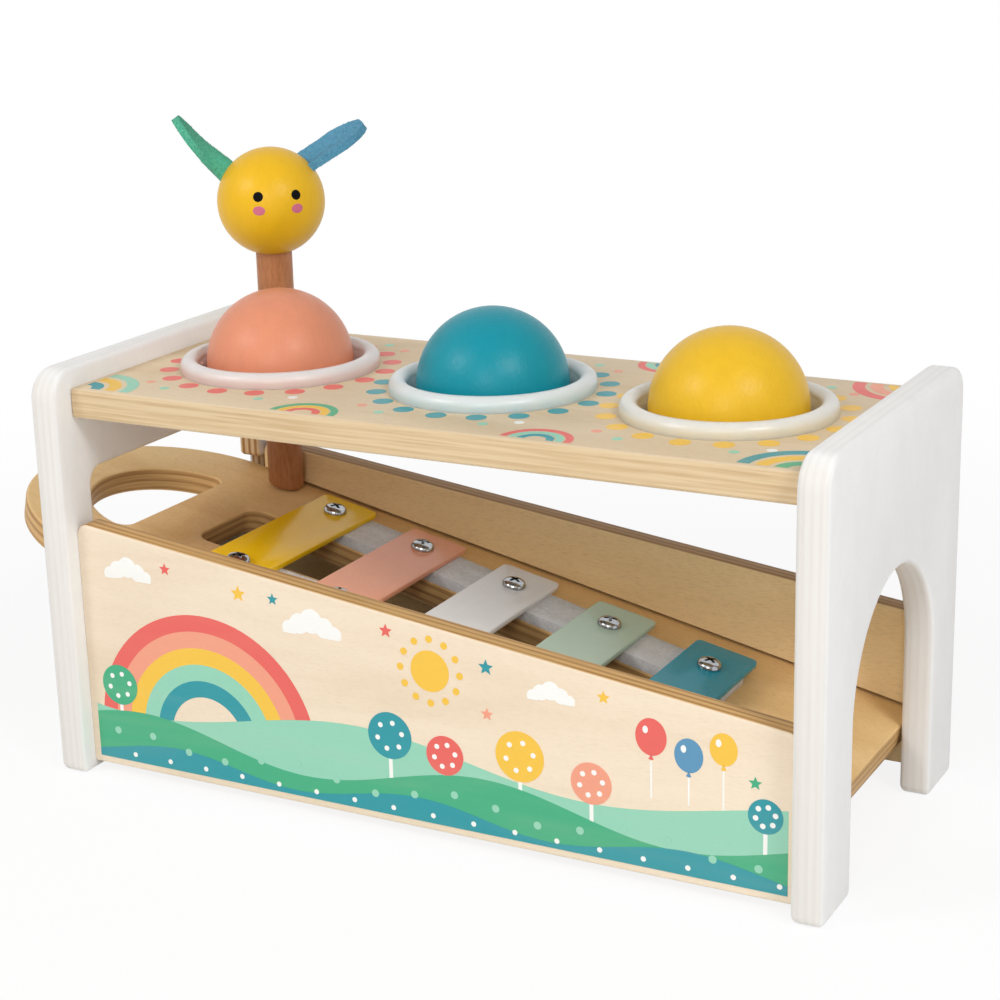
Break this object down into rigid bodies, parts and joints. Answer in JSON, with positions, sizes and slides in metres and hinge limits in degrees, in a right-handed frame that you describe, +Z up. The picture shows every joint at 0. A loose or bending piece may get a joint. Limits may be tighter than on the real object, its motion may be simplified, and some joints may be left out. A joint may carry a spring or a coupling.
{
  "type": "ball pounding xylophone bench",
  "caption": "Wooden pounding bench: balls sit in soft rings over a sloping slide-out xylophone tray, roll out through an arched end panel, and a mallet stands in a notch.",
  "frame": {"origin": "on the table, midway between the outer faces of the end panels and halfway through their depth", "axes": "+X along the bench to the arched end where the tray is low, +Y to the back, +Z up"},
  "size_m": [0.2919, 0.1269, 0.1918],
  "materials": {
    "white_paint": "satin white paint on plywood",
    "birch_ply": "clear matt varnish",
    "peg_wood": "raw beech",
    "milky_plastic": "soft, milky",
    "coral_lacquer": "satin lacquer",
    "teal_lacquer": "satin lacquer",
    "yellow_lacquer": "satin lacquer",
    "yellow_bar": "gloss paint",
    "coral_bar": "gloss paint",
    "white_bar": "gloss paint",
    "green_bar": "gloss paint",
    "teal_bar": "gloss paint",
    "grey_felt": "felt",
    "zinc": "zinc plated",
    "brown_wood": "stained, matt varnish",
    "green_felt": "felt",
    "blue_felt": "felt"
  },
  "bodies": {
    "bench": {"left_end_panel": "white_paint", "right_end_panel": "white_paint", "top_plate": "birch_ply", "front_panel": "birch_ply", "rear_rail": "birch_ply", "top_pegs": "peg_wood", "front_pegs": "peg_wood", "rail_pegs": "peg_wood", "ring_left": "milky_plastic", "ring_middle": "milky_plastic", "ring_right": "milky_plastic"},
    "tray": {"tray_board": "birch_ply", "felt_rear": "grey_felt", "felt_front": "grey_felt", "bar_yellow": "yellow_bar", "bar_coral": "coral_bar", "bar_white": "white_bar", "bar_green": "green_bar", "bar_teal": "teal_bar", "screws_rear": "zinc", "screws_front": "zinc"},
    "coral_ball": {"ball_left": "coral_lacquer"},
    "teal_ball": {"ball_middle": "teal_lacquer"},
    "yellow_ball": {"ball_right": "yellow_lacquer"},
    "mallet": {"mallet_handle": "brown_wood", "mallet_head": "yellow_lacquer", "wing_green": "green_felt", "wing_blue": "blue_felt"}
  },
  "joints": [
    {"name": "tray_slide", "type": "slide", "parent": "bench", "child": "tray", "axis": [-0.9775, 0, 0.211], "range_m": [0, 0.24]},
    {"name": "coral_ball_drop", "type": "slide", "parent": "bench", "child": "coral_ball", "axis": [0, 0, 1], "range_m": [-0.033, 0.05], "deforming": ["ring_left"]},
    {"name": "teal_ball_drop", "type": "slide", "parent": "bench", "child": "teal_ball", "axis": [0, 0, 1], "range_m": [-0.049, 0.05], "deforming": ["ring_middle"]},
    {"name": "yellow_ball_drop", "type": "slide", "parent": "bench", "child": "yellow_ball", "axis": [0, 0, 1], "range_m": [-0.065, 0.05], "deforming": ["ring_right"]},
    {"name": "mallet_lift", "type": "slide", "parent": "bench", "child": "mallet", "axis": [0, 0, 1], "range_m": [0, 0.08]}
  ]
}
